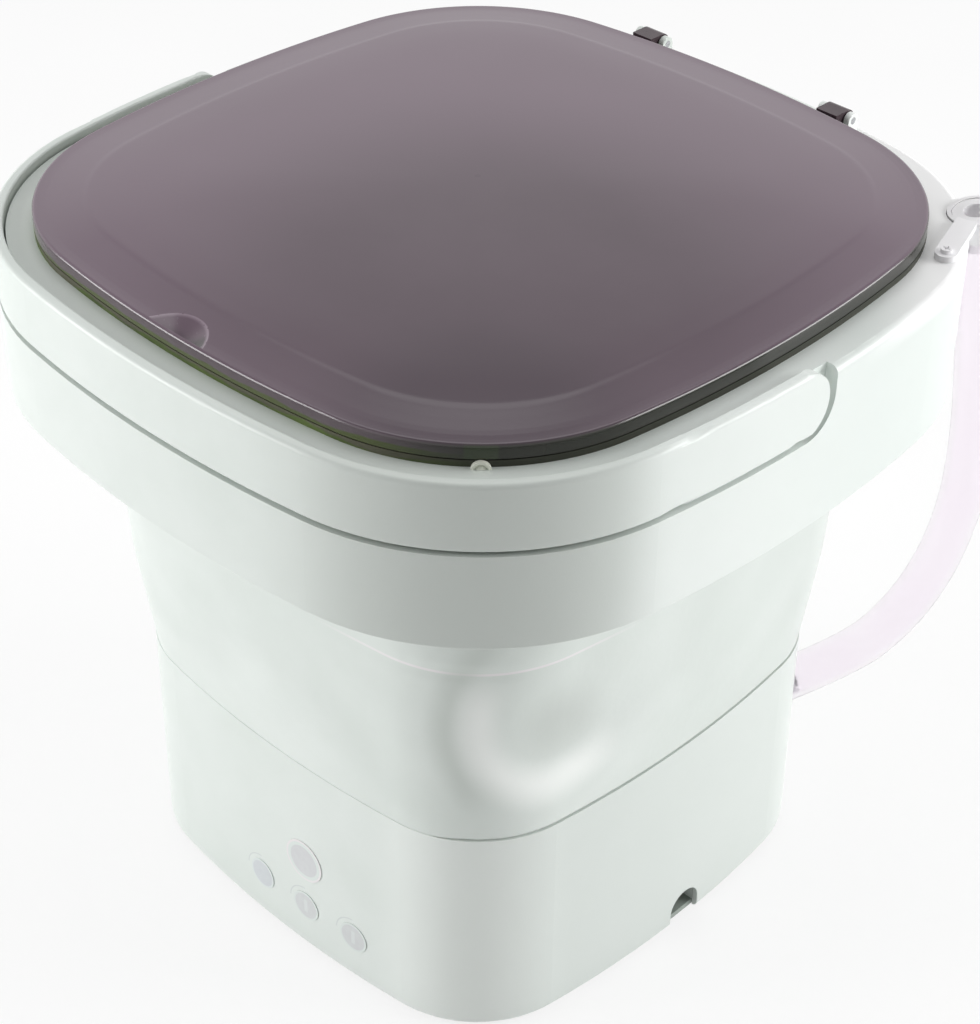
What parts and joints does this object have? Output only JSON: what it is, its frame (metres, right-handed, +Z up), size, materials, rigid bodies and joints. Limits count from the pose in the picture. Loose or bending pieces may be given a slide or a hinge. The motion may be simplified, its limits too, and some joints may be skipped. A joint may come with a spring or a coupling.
{
  "type": "portable washing machine",
  "caption": "Foldable portable washing machine: rigid base with drive and touch keys, soft wall, sliding top ring with hinged lid, carrying strap and drain hose.",
  "frame": {"origin": "middle of the footprint on the floor the feet stand on", "axes": "+Z up, -Y towards the side with the touch keys and the lid's finger dish, +X towards the side with the power inlet"},
  "size_m": [0.32, 0.32, 0.308],
  "materials": {
    "mint_plastic": "satin",
    "white_plastic": "satin",
    "soft_wall": "matt",
    "smoke_lid": "clear gloss",
    "green_seal": "matt",
    "clear_hose": "satin",
    "foot_rubber": "matt",
    "screw_steel": "satin",
    "turned_steel": "bright",
    "motor_plastic": "matt",
    "gear_plastic": "matt",
    "key_print": "satin",
    "key_pad": "matt",
    "board": "satin"
  },
  "bodies": {
    "base": {"base_housing": "mint_plastic", "bottom_cover": "mint_plastic", "inlet_shroud": "mint_plastic", "lower_tub": "white_plastic", "lower_clamp_ring": "white_plastic", "drain_grate": "white_plastic", "drain_elbow": "white_plastic", "drain_spigot": "white_plastic", "gearbox_tray": "white_plastic", "gearbox_cover": "white_plastic", "soft_wall": "soft_wall", "drain_hose": "clear_hose", "foot_front_left": "foot_rubber", "foot_front_right": "foot_rubber", "foot_back_left": "foot_rubber", "foot_back_right": "foot_rubber", "shaft_seal": "foot_rubber", "cover_screws": "screw_steel", "lower_clamp_screws": "screw_steel", "board_screws": "screw_steel", "gearbox_screws": "screw_steel", "motor_screws": "screw_steel", "idler_pin": "turned_steel", "lower_bearing": "turned_steel", "upper_bearing": "turned_steel", "motor_case": "turned_steel", "motor_end_bell": "motor_plastic", "power_inlet": "motor_plastic", "motor_magnets": "motor_plastic", "power_key": "key_print", "timer_key": "key_print", "start_key": "key_print", "spin_key": "key_print", "touch_pads": "key_pad", "control_board": "board"},
    "rim": {"top_ring": "mint_plastic", "inner_collar": "white_plastic", "collar_screws": "screw_steel", "upper_clamp_ring": "white_plastic", "upper_clamp_screws": "screw_steel", "lid_seal": "green_seal", "left_hinge_pin": "turned_steel", "right_hinge_pin": "turned_steel", "hose_hook": "white_plastic", "hook_screw": "screw_steel", "hose_nozzle": "white_plastic"},
    "lid": {"lid": "smoke_lid"},
    "handle": {"handle_strap": "mint_plastic", "left_pivot_cap": "screw_steel", "right_pivot_cap": "screw_steel"},
    "pulsator": {"pulsator": "white_plastic", "pulsator_screw": "screw_steel", "output_shaft": "turned_steel", "output_gear": "gear_plastic"},
    "idler": {"reduction_gear": "gear_plastic"},
    "motor_rotor": {"rotor_shaft": "turned_steel", "rotor_core": "turned_steel", "motor_pinion": "gear_plastic"}
  },
  "joints": [
    {"name": "ring_slide", "type": "slide", "parent": "base", "child": "rim", "axis": [0, 0, 1], "range_m": [-0.12, 0], "deforming": ["soft_wall", "drain_hose"]},
    {"name": "lid_hinge", "type": "hinge", "parent": "rim", "child": "lid", "pos_m": [0, 0.1505, 0.2994], "axis": [-1, 0, 0], "range_deg": [0, 105]},
    {"name": "handle_hinge", "type": "hinge", "parent": "rim", "child": "handle", "pos_m": [0, -0.006, 0.28475], "axis": [-1, 0, 0], "range_deg": [0, 105]},
    {"name": "pulsator_spin", "type": "hinge", "parent": "base", "child": "pulsator", "pos_m": [0, 0, 0.0835], "axis": [0, 0, 1], "continuous": true},
    {"name": "idler_spin", "type": "hinge", "parent": "base", "child": "idler", "pos_m": [-0.0375, 0, 0.06], "axis": [0, 0, 1], "continuous": true},
    {"name": "rotor_spin", "type": "hinge", "parent": "base", "child": "motor_rotor", "pos_m": [-0.0615, 0, 0.035], "axis": [0, 0, 1], "continuous": true}
  ],
  "couplings": [
    {"joint": "idler_spin", "follows": "pulsator_spin", "ratio": -4},
    {"joint": "rotor_spin", "follows": "pulsator_spin", "ratio": 16}
  ]
}
